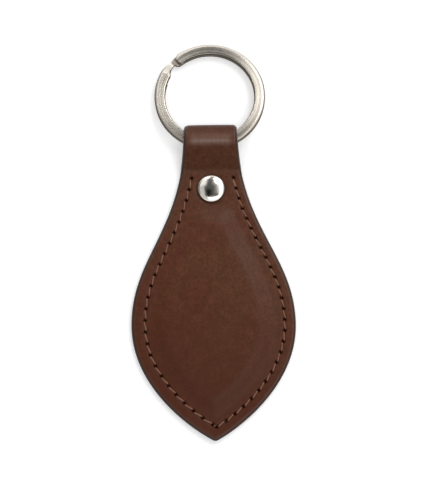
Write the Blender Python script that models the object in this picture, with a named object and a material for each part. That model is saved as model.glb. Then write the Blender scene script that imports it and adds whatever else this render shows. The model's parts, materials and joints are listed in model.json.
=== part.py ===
"""A leather key ring: a padded leaf of folded leather, sewn and riveted, on a flat split ring.

The fob lies on its back with its front up and the ring toward +Y. Sizes are in metres. In the
comments, y is counted from the axis on which the ring swings inside the loop. At the end the
whole object is moved so that the origin lies under its middle, on the surface that it lies on.
"""

import bmesh
import bpy
import numpy as np
from mathutils import Vector

MM = 0.001

# Split ring: one flat wire in two coils, seen from above with +Y at 90 degrees
RING_DIAMETER = 30.0 * MM
WIRE_WIDTH = 2.9 * MM
COIL_THICKNESS = 0.95 * MM
COIL_GAP = 0.1 * MM
WIRE_CHAMFER = 0.3 * MM
WAIST_WIDTH = 1.7 * MM
FRONT_END_ANGLE = np.radians(130.0)
JOGGLE_TOP_ANGLE = np.radians(151.0)
JOGGLE_FOOT_ANGLE = np.radians(136.0)
BACK_END_ANGLE = np.radians(157.0)
COIL_STEP = np.radians(12.0)

# Leather strip
LEATHER = 1.2 * MM
GLUE_LINE = 0.15 * MM
EDGE_CHAMFER = 0.45 * MM
INNER_EDGE_EASE = 0.2 * MM
LOOP_CLEARANCE = 0.15 * MM
COLUMN_ROOM = 1.0 * MM
DIP_RADIUS = 3.0 * MM
NECK_WIDTH = 14.2 * MM
BELLY_WIDTH = 43.7 * MM
TIP_WIDTH = 0.8 * MM
AXIS_TO_RIVET = 13.1 * MM
AXIS_TO_BELLY = 49.6 * MM
AXIS_TO_TIP = 80.0 * MM
NECK_HANDLE = 28.1 * MM
BELLY_HANDLE_ABOVE = 19.1 * MM
BELLY_HANDLE_BELOW = 15.8 * MM
TIP_HANDLE = 7.5 * MM
TIP_HALF_ANGLE = np.radians(62.5)

# Padded middle and its filler
PAD_HEIGHT = 1.2 * MM
PAD_SHOULDER = 5.0 * MM
FILLER_INSET = 2.8 * MM
FILLER_GAP = 0.3 * MM

# Seam
THREAD_DIAMETER = 0.38 * MM
LEFT_PITCH = 3.1 * MM
RIGHT_PITCH = 2.95 * MM
SEAM_START = 10.1 * MM
SEAM_MARGIN_NECK = 2.85 * MM
SEAM_MARGIN_BELLY = 3.35 * MM
SEAM_SHIFT = 0.35 * MM
FRONT_GROOVE = 0.2 * MM
THREAD_GAP = 0.05 * MM
THREAD_LEG = 0.27 * MM
KNOT_GAP = 0.3 * MM

# Rivet: two crimped pairs
CAP_DIAMETER = 7.2 * MM
CAP_HEIGHT = 1.55 * MM
CAP_RIM = 0.4 * MM
CAP_WALL = 0.22 * MM
BACK_CAP_DIAMETER = 7.0 * MM
FLANGE_DIAMETER = 6.0 * MM
FLANGE = 0.2 * MM
SOCKET_DIAMETER = 3.4 * MM
SOCKET_BORE = 2.7 * MM
POST_DIAMETER = 2.4 * MM
POST_BORE = 1.6 * MM
POST_HEAD_DIAMETER = 3.2 * MM
CRIMP = 0.45 * MM
FRONT_DIMPLE = 0.25 * MM
RIVET_GAP = 0.06 * MM

# Ring inside the loop: the wire swings in a circle that just clears the leather
WIRE_OUTER = RING_DIAMETER / 2
WIRE_INNER = WIRE_OUTER - WIRE_WIDTH
RING_STACK = 2 * COIL_THICKNESS + COIL_GAP
INNER_AT_STRAP_EDGE = np.sqrt(WIRE_INNER ** 2 - (NECK_WIDTH / 2) ** 2)
AXIS_TO_RING = (WIRE_OUTER + INNER_AT_STRAP_EDGE) / 2
WIRE_REACH = (WIRE_OUTER - INNER_AT_STRAP_EDGE) / 2
WIRE_SWEEP = max(np.hypot(WIRE_REACH, RING_STACK / 2 - WIRE_CHAMFER),
                 np.hypot(WIRE_REACH - WIRE_CHAMFER, RING_STACK / 2))
LOOP_INNER_RADIUS = WIRE_SWEEP + LOOP_CLEARANCE
LOOP_OUTER_RADIUS = LOOP_INNER_RADIUS + LEATHER
AXIS_HEIGHT = LOOP_OUTER_RADIUS
MARGIN_TOP = 2 * LEATHER + GLUE_LINE
REST_TILT = (np.arcsin(AXIS_HEIGHT / np.hypot(AXIS_TO_RING + WIRE_OUTER - WIRE_CHAMFER, RING_STACK / 2))
             - np.arctan2(RING_STACK / 2, AXIS_TO_RING + WIRE_OUTER - WIRE_CHAMFER))

# Places that follow from the sizes
THREAD_RADIUS = THREAD_DIAMETER / 2
GROOVE_SIDE_GAP = 2 * THREAD_GAP
GROOVE_WIDTH = THREAD_DIAMETER + 2 * GROOVE_SIDE_GAP
SLOT_WIDTH = THREAD_DIAMETER + 2 * THREAD_GAP
SLOT_LENGTH = 2 * (THREAD_LEG + THREAD_RADIUS + THREAD_GAP)
BACK_GROOVE = THREAD_GAP + THREAD_DIAMETER + GROOVE_SIDE_GAP
PAD_START = SEAM_MARGIN_BELLY + SEAM_SHIFT + GROOVE_WIDTH / 2 + THREAD_GAP
FLAT_START = -AXIS_TO_RIVET + CAP_DIAMETER / 2 + RIVET_GAP
PAD_TOP = -AXIS_TO_RIVET - CAP_DIAMETER / 2 - RIVET_GAP
BACK_DIMPLE = 2 * CAP_WALL + FLANGE + 4 * RIVET_GAP

# Steps of the curves and meshes
CURVE_POINTS = 200
LEAF_ROWS = 36
LOOP_STEPS = 14
DIP_STEPS = 4
SHOULDER_COLUMNS = 3
FILLER_ROWS = 26
FILLER_COLUMNS = 11
TURNED_STEPS = 24
DOME_POINTS = 7
JOGGLE_SECTIONS = 5
END_SECTIONS = np.array([0.05, 0.35, 1.0])
NARROWEST_CHAMFER = 1 / 3
FLAT_ANGLE = np.radians(0.05)
SHARP_ANGLE = np.radians(40.0)
MERGE_DISTANCE = 0.0001 * MM
CUTTER_EXCESS = 1.0 * MM


def clear_scene():
    """Remove every object, so that the file holds only the key ring."""
    for item in list(bpy.data.objects):
        bpy.data.objects.remove(item, do_unlink=True)


def make_material(name, colour, roughness, metallic=0.0):
    """A plain Principled BSDF material."""
    material = bpy.data.materials.new(name)
    material.use_nodes = True
    shader = material.node_tree.nodes["Principled BSDF"]
    shader.inputs["Base Color"].default_value = (*colour, 1.0)
    shader.inputs["Roughness"].default_value = roughness
    shader.inputs["Metallic"].default_value = metallic
    return material


def add_object(name, data, parent, material=None):
    """Link a new object under its parent."""
    item = bpy.data.objects.new(name, data)
    bpy.context.scene.collection.objects.link(item)
    item.parent = parent
    if material:
        data.materials.append(material)
    return item


def mesh_object(name, shape, parent, material=None, smooth=False):
    """Turn a bmesh into a named object with its faces pointing out."""
    bmesh.ops.recalc_face_normals(shape, faces=shape.faces)
    mesh = bpy.data.meshes.new(name)
    shape.to_mesh(mesh)
    shape.free()
    if smooth:
        mesh.shade_smooth()
        mesh.set_sharp_from_angle(angle=SHARP_ANGLE)
    return add_object(name, mesh, parent, material)


def cut(target, cutter):
    """Take the cutter's shape out of the target."""
    cutter.hide_render = True
    cutter.display_type = "WIRE"
    modifier = target.modifiers.new(cutter.name, "BOOLEAN")
    modifier.operation = "DIFFERENCE"
    modifier.solver = "MANIFOLD"
    modifier.object = cutter


def eased(share):
    """Smooth rise from 0 to 1 with level ends, held level outside them."""
    t = np.clip(share, 0.0, 1.0)
    return t * t * (3.0 - 2.0 * t)


# Plan of the leaf

def bezier(start, start_handle, end_handle, end):
    """Points on a cubic Bezier curve, both ends included."""
    t = np.linspace(0.0, 1.0, CURVE_POINTS)[:, None]
    s = 1.0 - t
    return s ** 3 * start + 3 * s * s * t * start_handle + 3 * s * t * t * end_handle + t ** 3 * end


def leaf_edge():
    """Right-hand edge of the leaf from the fold down to the tip."""
    down = np.array([0.0, -1.0])
    neck = np.array([NECK_WIDTH / 2, LOOP_OUTER_RADIUS])
    belly = np.array([BELLY_WIDTH / 2, -AXIS_TO_BELLY])
    tip = np.array([TIP_WIDTH / 2, -AXIS_TO_TIP])
    flank = np.array([np.sin(TIP_HALF_ANGLE), np.cos(TIP_HALF_ANGLE)])
    upper = bezier(neck, neck + NECK_HANDLE * down, belly - BELLY_HANDLE_ABOVE * down, belly)
    lower = bezier(belly, belly + BELLY_HANDLE_BELOW * down, tip + TIP_HANDLE * flank, tip)
    return np.vstack([upper, lower[1:]])


EDGE = leaf_edge()


def half_width(y):
    """Half the leaf's width at y."""
    return np.interp(-y, -EDGE[:, 1], EDGE[:, 0])


def arc_lengths(points):
    """Length along a line of points up to each of them."""
    steps = np.linalg.norm(np.diff(points, axis=0), axis=1)
    return np.concatenate([[0.0], np.cumsum(steps)])


def spaced(points, count):
    """The same line with count points at equal steps of its length."""
    length = arc_lengths(points)
    wanted = np.linspace(0.0, length[-1], count)
    return np.column_stack([np.interp(wanted, length, points[:, axis]) for axis in range(2)])


def tangents(points):
    """Unit direction of a line at each of its points."""
    steps = np.gradient(points, axis=0)
    return steps / np.linalg.norm(steps, axis=1)[:, None]


def inner_line(margin, top, least_x):
    """Line at a margin inside the leaf's edge, from y = top down to x = least_x near the tip."""
    along = tangents(EDGE)
    line = EDGE + np.column_stack([along[:, 1], -along[:, 0]]) * np.reshape(margin, (-1, 1))
    end = np.argmax((line[:, 0] < least_x) & (line[:, 1] < -AXIS_TO_BELLY))
    last = line[end - 1] + (line[end] - line[end - 1]) * (
        (line[end - 1, 0] - least_x) / (line[end - 1, 0] - line[end, 0]))
    line = np.vstack([line[:end], last])
    start = np.argmax(line[:, 1] < top)
    first_x = np.interp(-top, -line[:, 1], line[:, 0])
    return np.vstack([[first_x, top], line[start:]])


def edge_distance(x, y):
    """Distance from a point inside the leaf to the leaf's edge."""
    across = np.abs(x)[..., None] - EDGE[:, 0]
    along = y[..., None] - EDGE[:, 1]
    return np.sqrt(across ** 2 + along ** 2).min(axis=-1)


def pad_rise(x, y):
    """Height of the padded middle above the sewn margin."""
    inside = np.minimum(edge_distance(x, y) - PAD_START, PAD_TOP - y)
    return PAD_HEIGHT * eased(inside / PAD_SHOULDER)


# Leather and filler

def slab(outer, inner):
    """Closed shape between two grids of points that have as many rows and columns."""
    shape = bmesh.new()
    top = [[shape.verts.new(point) for point in row] for row in outer]
    base = [[shape.verts.new(point) for point in row] for row in inner]
    rows = len(top) - 1
    columns = len(top[0]) - 1
    for r in range(rows):
        for c in range(columns):
            shape.faces.new((top[r][c], top[r][c + 1], top[r + 1][c + 1], top[r + 1][c]))
            shape.faces.new((base[r][c], base[r + 1][c], base[r + 1][c + 1], base[r][c + 1]))
    rim = [(0, c) for c in range(columns)]
    rim += [(r, columns) for r in range(rows)]
    rim += [(rows, c) for c in range(columns, 0, -1)]
    rim += [(r, 0) for r in range(rows, 0, -1)]
    for (r, c), (next_r, next_c) in zip(rim, rim[1:] + rim[:1]):
        shape.faces.new((top[r][c], base[r][c], base[next_r][next_c], top[next_r][next_c]))
    bmesh.ops.dissolve_limit(shape, angle_limit=FLAT_ANGLE, verts=shape.verts, edges=shape.edges)
    return shape


def loop_slope():
    """Slope of the front layer between the loop and the rivet.

    The layer is a straight line that touches the loop's circle from outside and the circle of
    the dip above the rivet from below.
    """
    back = -FLAT_START
    rise = MARGIN_TOP + DIP_RADIUS - AXIS_HEIGHT
    reach = LOOP_OUTER_RADIUS + DIP_RADIUS
    return np.arcsin(reach / np.hypot(back, rise)) - np.arctan2(rise, back)


def strip_path():
    """Outer side of the folded strip, front tip to back tip: rows of y, z, normal y, normal z."""
    start = [half_width(FLAT_START), FLAT_START]
    leaf = spaced(np.vstack([start, EDGE[EDGE[:, 1] < FLAT_START]]), LEAF_ROWS)[:, 1]
    slope = loop_slope()
    front = [(y, MARGIN_TOP, 0.0, 1.0) for y in leaf[:0:-1]]
    dip = [(FLAT_START + DIP_RADIUS * np.sin(turn), MARGIN_TOP + DIP_RADIUS * (1 - np.cos(turn)),
            -np.sin(turn), np.cos(turn))
           for turn in np.linspace(0.0, slope, DIP_STEPS + 1)]
    loop = [(LOOP_OUTER_RADIUS * np.cos(turn), AXIS_HEIGHT + LOOP_OUTER_RADIUS * np.sin(turn),
             np.cos(turn), np.sin(turn))
            for turn in np.linspace(np.pi / 2 + slope, -np.pi / 2, LOOP_STEPS + 1)]
    back = [(y, 0.0, 0.0, -1.0) for y in leaf]
    return np.array(front + dip + loop + back)


def strip_columns(half):
    """x of each column across the strip, squeezed together where the leaf is narrow."""
    shoulder = np.linspace(PAD_START, PAD_START + PAD_SHOULDER, SHOULDER_COLUMNS + 1)
    squeeze = min(1.0, half / (PAD_START + PAD_SHOULDER + COLUMN_ROOM))
    chamfer = min(EDGE_CHAMFER, half * NARROWEST_CHAMFER)
    right = np.concatenate([[half, half - chamfer], half - shoulder * squeeze])
    return np.concatenate([-right, [0.0], right[::-1]])


def leather_wrap(parent, material):
    """One strip of leather: front leaf, neck, loop and back leaf, with its edges eased."""
    path = strip_path()
    x = np.array([strip_columns(half_width(y)) for y in path[:, 0]])
    y, z, normal_y, normal_z = (np.repeat(column[:, None], x.shape[1], axis=1) for column in path.T)
    front = (np.arange(len(path)) < LEAF_ROWS)[:, None]
    rise = np.where(front, pad_rise(x, y), 0.0)
    top_depth = np.zeros_like(x)
    top_depth[:, [0, -1]] = EDGE_CHAMFER
    base_depth = np.full_like(x, LEATHER)
    base_depth[:, [0, -1]] -= INNER_EDGE_EASE
    outer, inner = (np.stack([x, y - depth * normal_y, z - depth * normal_z + rise], axis=-1)
                    for depth in (top_depth, base_depth))
    return mesh_object("leather_wrap", slab(outer, inner), parent, material)


def filler_board(parent, material):
    """Leaf-shaped board between the two layers, thinned toward its edge."""
    line = inner_line(PAD_START + FILLER_INSET, PAD_TOP - FILLER_INSET, TIP_WIDTH / 2)
    rows = spaced(line, FILLER_ROWS)[::-1]
    shares = np.linspace(-1.0, 1.0, FILLER_COLUMNS)
    x = rows[:, :1] * np.sin(shares * np.pi / 2)
    y = np.repeat(rows[:, 1:], x.shape[1], axis=1)
    upper = MARGIN_TOP - LEATHER - FILLER_GAP + pad_rise(x, y)
    lower = np.full_like(x, LEATHER + FILLER_GAP)
    shape = slab(np.stack([x, y, upper], axis=-1), np.stack([x, y, lower], axis=-1))
    return mesh_object("filler_board", shape, parent, material)


# Seam

def seam_side(pitch):
    """Needle holes of one side from the top down to the corner above the tip, at x above 0."""
    belly_share = np.clip((-EDGE[:, 1] - SEAM_START) / (AXIS_TO_BELLY - SEAM_START), 0.0, 1.0)
    margin = SEAM_MARGIN_NECK + (SEAM_MARGIN_BELLY - SEAM_MARGIN_NECK) * belly_share
    line = inner_line(margin, -SEAM_START, 0.0)
    stitches = int(round(arc_lengths(line)[-1] / pitch))
    return spaced(line, stitches + 1)


def seam_holes():
    """All needle holes in sewing order: down the left side, round the corner, up the right."""
    left = seam_side(LEFT_PITCH) * np.array([-1.0, 1.0])
    right = seam_side(RIGHT_PITCH)
    return np.vstack([left, right[-2::-1]]) + np.array([SEAM_SHIFT, 0.0])


def prism(name, outlines, low, high, parent):
    """Upright prisms over flat outlines, all in one object."""
    shape = bmesh.new()
    for outline in outlines:
        face = shape.faces.new([shape.verts.new((x, y, low)) for x, y in outline])
        lifted = bmesh.ops.extrude_face_region(shape, geom=[face])
        verts = [item for item in lifted["geom"] if isinstance(item, bmesh.types.BMVert)]
        bmesh.ops.translate(shape, verts=verts, vec=(0.0, 0.0, high - low))
    return mesh_object(name, shape, parent)


def ribbon(line, width):
    """Outline of a band along a line, running on past both ends by half its width."""
    along = tangents(line)
    line = line.copy()
    line[0] -= along[0] * width / 2
    line[-1] += along[-1] * width / 2
    steps = np.diff(line, axis=0)
    steps /= np.linalg.norm(steps, axis=1)[:, None]
    before = np.vstack([steps[:1], steps])
    after = np.vstack([steps, steps[-1:]])
    middle = before + after
    middle /= np.linalg.norm(middle, axis=1)[:, None]
    side = np.column_stack([-middle[:, 1], middle[:, 0]])
    side *= (width / 2 / (middle * after).sum(axis=1))[:, None]
    return np.vstack([line + side, (line - side)[::-1]])


def slot(hole, along):
    """Outline of the hole that the needle and the two legs of thread open."""
    across = np.array([-along[1], along[0]])
    return [hole + a * SLOT_LENGTH / 2 * along + b * SLOT_WIDTH / 2 * across
            for a, b in ((-1, -1), (1, -1), (1, 1), (-1, 1))]


def cut_seam(leather, parent):
    """Groove on each face along the seam, and a slot through both layers at each needle hole."""
    holes = seam_holes()
    band = ribbon(holes, GROOVE_WIDTH)
    slots = [slot(hole, along) for hole, along in zip(holes, tangents(holes))]
    cut(leather, prism("front_groove_cutter", [band], MARGIN_TOP - FRONT_GROOVE,
                       MARGIN_TOP + CUTTER_EXCESS, parent))
    cut(leather, prism("back_groove_cutter", [band], -CUTTER_EXCESS, BACK_GROOVE, parent))
    cut(leather, prism("slot_cutter", slots, -CUTTER_EXCESS, MARGIN_TOP + CUTTER_EXCESS, parent))


def stitched_thread(name, face_z, deep_z, parent, material):
    """One thread: flat along the leather between the holes, and down and up again in each."""
    holes = seam_holes()
    points = []
    for hole, along in zip(holes, tangents(holes)):
        for side, z in ((-1, face_z), (-1, deep_z), (1, deep_z), (1, face_z)):
            x, y = hole + side * THREAD_LEG * along
            points.append((x, y, z))
    points = points[1:-1]
    curve = bpy.data.curves.new(name, "CURVE")
    curve.dimensions = "3D"
    curve.bevel_depth = THREAD_RADIUS
    curve.bevel_resolution = 1
    curve.use_fill_caps = True
    spline = curve.splines.new("POLY")
    spline.points.add(len(points) - 1)
    for target, point in zip(spline.points, points):
        target.co = (*point, 1.0)
    return add_object(name, curve, parent, material)


def threads(parent, material):
    """Upper and lower thread of the lockstitch; their dips meet half way through the leather."""
    middle = MARGIN_TOP / 2
    dip = KNOT_GAP / 2 + THREAD_RADIUS
    front = MARGIN_TOP - FRONT_GROOVE + THREAD_GAP + THREAD_RADIUS
    back = THREAD_GAP + THREAD_RADIUS
    stitched_thread("needle_thread", front, middle + dip, parent, material)
    stitched_thread("bobbin_thread", back, middle - dip, parent, material)


# Rivet

def turned(profile):
    """Shape that a profile of (radius, height) points sweeps about the rivet's axis.

    A profile that starts and ends on the axis is left open there, and any other is closed. The
    first facet lies square to X, so that no corner falls on the midline of the leather.
    """
    shape = bmesh.new()
    start = np.pi / TURNED_STEPS
    verts = [shape.verts.new((radius * np.cos(start), radius * np.sin(start), height))
             for radius, height in profile]
    pairs = list(zip(verts, verts[1:]))
    if profile[0][0] > 0:
        pairs.append((verts[-1], verts[0]))
    edges = [shape.edges.new(pair) for pair in pairs]
    bmesh.ops.spin(shape, geom=verts + edges, cent=(0, 0, 0), axis=(0, 0, 1),
                   angle=2 * np.pi, steps=TURNED_STEPS, use_merge=True)
    bmesh.ops.remove_doubles(shape, verts=shape.verts, dist=MERGE_DISTANCE)
    bmesh.ops.translate(shape, verts=shape.verts, vec=(0.0, -AXIS_TO_RIVET, 0.0))
    return shape


def rivet_cutter(parent):
    """Stepped hole for the rivet: a dimple in each face and a bore between them."""
    bore = SOCKET_DIAMETER / 2 + RIVET_GAP
    back = BACK_CAP_DIAMETER / 2 + RIVET_GAP
    front = CAP_DIAMETER / 2 + RIVET_GAP
    front_floor = MARGIN_TOP - FRONT_DIMPLE
    profile = [(0.0, -CUTTER_EXCESS), (back, -CUTTER_EXCESS), (back, BACK_DIMPLE),
               (bore, BACK_DIMPLE), (bore, front_floor), (front, front_floor),
               (front, MARGIN_TOP + CUTTER_EXCESS), (0.0, MARGIN_TOP + CUTTER_EXCESS)]
    return mesh_object("rivet_cutter", turned(profile), parent)


def cap_levels():
    """Heights of the front pair: bottom of the cap's lip and bottom of the socket's flange."""
    lip = MARGIN_TOP - FRONT_DIMPLE + RIVET_GAP
    return lip, lip + CAP_WALL + RIVET_GAP


def rivet_front_cap(parent, material):
    """Domed shell with its lip turned in under the socket's flange."""
    lip, _ = cap_levels()
    outer = CAP_DIAMETER / 2
    turns = np.linspace(np.pi / 2, 0.0, DOME_POINTS)
    dome = CAP_HEIGHT - CAP_RIM
    outside = [(outer * np.cos(t), lip + CAP_RIM + dome * np.sin(t)) for t in turns]
    inside = [((outer - CAP_WALL) * np.cos(t), lip + CAP_RIM + (dome - CAP_WALL) * np.sin(t))
              for t in turns[::-1]]
    crimp = outer - CAP_WALL - CRIMP
    lip_points = [(outer, lip), (crimp, lip), (crimp, lip + CAP_WALL), (outer - CAP_WALL, lip + CAP_WALL)]
    profile = outside + lip_points + inside
    profile[0] = (0.0, lip + CAP_HEIGHT)
    profile[-1] = (0.0, lip + CAP_HEIGHT - CAP_WALL)
    return mesh_object("rivet_front_cap", turned(profile), parent, material, smooth=True)


def rivet_socket(parent, material):
    """Flanged tube held in the front cap, reaching down through the leather."""
    _, flange = cap_levels()
    foot = BACK_DIMPLE + RIVET_GAP
    profile = [(SOCKET_BORE / 2, flange + FLANGE), (SOCKET_BORE / 2, foot), (SOCKET_DIAMETER / 2, foot),
               (SOCKET_DIAMETER / 2, flange), (FLANGE_DIAMETER / 2, flange),
               (FLANGE_DIAMETER / 2, flange + FLANGE)]
    return mesh_object("rivet_socket", turned(profile), parent, material, smooth=True)


def rivet_back_cap(parent, material):
    """Low shell on the back, sunk flush into the leather, its lip turned in over the flange."""
    outer = BACK_CAP_DIAMETER / 2
    low = RIVET_GAP
    rim = BACK_DIMPLE - RIVET_GAP
    crimp = outer - CAP_WALL - CRIMP
    profile = [(0.0, low), (outer - CAP_WALL, low), (outer, low + CAP_WALL), (outer, rim), (crimp, rim),
               (crimp, rim - CAP_WALL), (outer - CAP_WALL, rim - CAP_WALL),
               (outer - CAP_WALL, low + CAP_WALL), (0.0, low + CAP_WALL)]
    return mesh_object("rivet_back_cap", turned(profile), parent, material, smooth=True)


def rivet_post(parent, material):
    """Flanged hollow post, spread over the socket's upper end inside the front cap."""
    flange = RIVET_GAP + CAP_WALL + RIVET_GAP
    _, socket_flange = cap_levels()
    head = socket_flange + FLANGE + RIVET_GAP
    bore = POST_BORE / 2
    stem = POST_DIAMETER / 2
    profile = [(bore, head + FLANGE), (bore, flange), (FLANGE_DIAMETER / 2, flange),
               (FLANGE_DIAMETER / 2, flange + FLANGE), (stem, flange + FLANGE), (stem, head),
               (POST_HEAD_DIAMETER / 2, head), (POST_HEAD_DIAMETER / 2, head + FLANGE)]
    return mesh_object("rivet_post", turned(profile), parent, material, smooth=True)


# Split ring

def ring_angles():
    """Angles of the wire's sections, clockwise from the front end over both coils."""
    full_turn = 2 * np.pi
    end_length = WIRE_WIDTH / 2 / WIRE_OUTER
    nose = FRONT_END_ANGLE - end_length * END_SECTIONS
    tail = BACK_END_ANGLE - 2 * full_turn + end_length * END_SECTIONS[::-1]
    joggle = np.linspace(JOGGLE_TOP_ANGLE, JOGGLE_FOOT_ANGLE, JOGGLE_SECTIONS) - full_turn
    front_steps = int(np.ceil((nose[-1] - joggle[0]) / COIL_STEP))
    back_steps = int(np.ceil((joggle[-1] - tail[0]) / COIL_STEP))
    front = np.linspace(nose[-1], joggle[0], front_steps + 1)[1:-1]
    back = np.linspace(joggle[-1], tail[0], back_steps + 1)[1:-1]
    return np.concatenate([nose, front, joggle, back, tail])


def ring_section(angle):
    """Eight corners of the wire's section at an angle.

    The wire comes from the front end on the front coil. In the joggle it narrows and drops to the
    back coil. Only the outer face of each coil is chamfered, and both ends of the wire are round.
    """
    full_turn = 2 * np.pi
    drop = (JOGGLE_TOP_ANGLE - full_turn - angle) / (JOGGLE_TOP_ANGLE - JOGGLE_FOOT_ANGLE)
    drop = np.clip(drop, 0.0, 1.0)
    level = (COIL_THICKNESS + COIL_GAP) / 2 * (1.0 - 2.0 * eased(drop))
    from_end = min(FRONT_END_ANGLE - angle, angle - BACK_END_ANGLE + 2 * full_turn) * WIRE_OUTER
    rounding = min(from_end / (WIRE_WIDTH / 2), 1.0)
    half = WIRE_WIDTH / 2 * np.sqrt(1.0 - (1.0 - rounding) ** 2)
    half -= (WIRE_WIDTH - WAIST_WIDTH) / 2 * np.sin(np.pi * drop) ** 2
    middle = WIRE_OUTER - WIRE_WIDTH / 2
    tall = COIL_THICKNESS / 2
    chamfer = min(WIRE_CHAMFER, half * NARROWEST_CHAMFER)
    top = chamfer if drop < 1.0 else 0.0
    base = chamfer if drop > 0.0 else 0.0
    corners = [(-half, -tall + base), (-half + base, -tall), (half - base, -tall), (half, -tall + base),
               (half, tall - top), (half - top, tall), (-half + top, tall), (-half, tall - top)]
    direction = Vector((np.cos(angle), np.sin(angle), 0.0))
    centre = Vector((0.0, AXIS_TO_RING, 0.0))
    return [centre + direction * (middle + out) + Vector((0.0, 0.0, level + up)) for out, up in corners]


def split_ring(parent, material):
    """Flat wire wound twice round, passing under its own front end at the joggle."""
    shape = bmesh.new()
    sections = [[shape.verts.new(corner) for corner in ring_section(angle)] for angle in ring_angles()]
    for near, far in zip(sections, sections[1:]):
        for k in range(len(near)):
            following = (k + 1) % len(near)
            shape.faces.new((near[k], near[following], far[following], far[k]))
    shape.faces.new(sections[0])
    shape.faces.new(sections[-1][::-1])
    bmesh.ops.remove_doubles(shape, verts=shape.verts, dist=MERGE_DISTANCE)
    return mesh_object("split_ring", shape, parent, material, smooth=True)


def build():
    """Make every piece under two empties: the fob, and the axis on which the ring swings."""
    clear_scene()
    leather = make_material("chestnut_leather", (0.095, 0.035, 0.021), 0.5)
    board = make_material("grey_board", (0.35, 0.31, 0.26), 0.9)
    thread = make_material("tan_thread", (0.35, 0.15, 0.07), 0.8)
    nickel = make_material("polished_nickel", (0.75, 0.72, 0.68), 0.2, 1.0)
    steel = make_material("brushed_steel", (0.58, 0.55, 0.50), 0.35, 1.0)

    rim_height = RING_STACK / 2 - WIRE_CHAMFER
    far_end = (AXIS_TO_RING + WIRE_OUTER) * np.cos(REST_TILT) + rim_height * np.sin(REST_TILT)
    axis_y = (AXIS_TO_TIP - far_end) / 2
    fob = add_object("fob", None, None)
    fob.location = (0.0, axis_y, 0.0)
    ring_axis = add_object("ring_axis", None, None)
    ring_axis.location = (0.0, axis_y, AXIS_HEIGHT)
    ring_axis.rotation_euler = (-REST_TILT, 0.0, 0.0)

    wrap = leather_wrap(fob, leather)
    cut_seam(wrap, fob)
    cut(wrap, rivet_cutter(fob))
    filler_board(fob, board)
    threads(fob, thread)
    rivet_front_cap(fob, nickel)
    rivet_socket(fob, nickel)
    rivet_post(fob, nickel)
    rivet_back_cap(fob, nickel)
    split_ring(ring_axis, steel)


build()
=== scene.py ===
"""Looks of the leather key ring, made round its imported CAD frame.

The fob lies on its back with the ring toward +Y. Sizes are in metres. In the comments and in the
shape functions, y is counted from the axis on which the ring swings, as in the CAD source, and a
mesh is moved to its place in the frame when it is made. Every shape is worked out as whole arrays
of points: rows run along a piece, and columns go round it.
"""

import json

import bmesh
import bpy
import numpy as np
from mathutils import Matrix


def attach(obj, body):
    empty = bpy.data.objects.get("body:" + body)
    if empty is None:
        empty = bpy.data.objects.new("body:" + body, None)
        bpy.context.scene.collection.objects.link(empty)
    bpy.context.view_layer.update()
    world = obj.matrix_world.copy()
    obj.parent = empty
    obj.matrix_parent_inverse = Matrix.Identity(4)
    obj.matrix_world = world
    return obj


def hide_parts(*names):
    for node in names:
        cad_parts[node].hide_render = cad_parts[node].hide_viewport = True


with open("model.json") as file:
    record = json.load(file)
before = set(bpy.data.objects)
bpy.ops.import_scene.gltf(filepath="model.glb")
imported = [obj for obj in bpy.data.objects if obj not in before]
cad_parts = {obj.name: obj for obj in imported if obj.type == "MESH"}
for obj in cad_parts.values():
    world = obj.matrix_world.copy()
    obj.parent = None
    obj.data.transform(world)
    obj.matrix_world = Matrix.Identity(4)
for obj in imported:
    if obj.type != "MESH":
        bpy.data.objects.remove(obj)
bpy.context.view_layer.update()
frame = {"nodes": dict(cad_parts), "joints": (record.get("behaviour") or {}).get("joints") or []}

MM = 0.001
FULL_TURN = 2 * np.pi

# Split ring, as in the CAD source
RING_DIAMETER = 30.0 * MM
WIRE_WIDTH = 2.9 * MM
COIL_THICKNESS = 0.95 * MM
COIL_GAP = 0.1 * MM
WIRE_CHAMFER = 0.3 * MM
FRONT_END_ANGLE = np.radians(130.0)
JOGGLE_TOP_ANGLE = np.radians(151.0)
JOGGLE_FOOT_ANGLE = np.radians(136.0)
BACK_END_ANGLE = np.radians(157.0)

# Leather strip, as in the CAD source
LEATHER = 1.2 * MM
GLUE_LINE = 0.15 * MM
LOOP_CLEARANCE = 0.15 * MM
DIP_RADIUS = 3.0 * MM
NECK_WIDTH = 14.2 * MM
BELLY_WIDTH = 43.7 * MM
TIP_WIDTH = 0.8 * MM
AXIS_TO_RIVET = 13.1 * MM
AXIS_TO_BELLY = 49.6 * MM
AXIS_TO_TIP = 80.0 * MM
NECK_HANDLE = 28.1 * MM
BELLY_HANDLE_ABOVE = 19.1 * MM
BELLY_HANDLE_BELOW = 15.8 * MM
TIP_HANDLE = 7.5 * MM
TIP_HALF_ANGLE = np.radians(62.5)
PAD_HEIGHT = 1.2 * MM
PAD_START = 4.04 * MM

# Seam, as in the CAD source
LEFT_PITCH = 3.1 * MM
RIGHT_PITCH = 2.95 * MM
SEAM_START = 10.1 * MM
SEAM_MARGIN_NECK = 2.85 * MM
SEAM_MARGIN_BELLY = 3.35 * MM
SEAM_SHIFT = 0.35 * MM

# Rivet, as in the CAD source
CAP_DIAMETER = 7.2 * MM
CAP_HEIGHT = 1.55 * MM
CAP_RIM = 0.4 * MM
CAP_WALL = 0.22 * MM
BACK_CAP_DIAMETER = 7.0 * MM
FLANGE = 0.2 * MM
CRIMP = 0.45 * MM
FRONT_DIMPLE = 0.25 * MM
RIVET_GAP = 0.06 * MM

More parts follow.
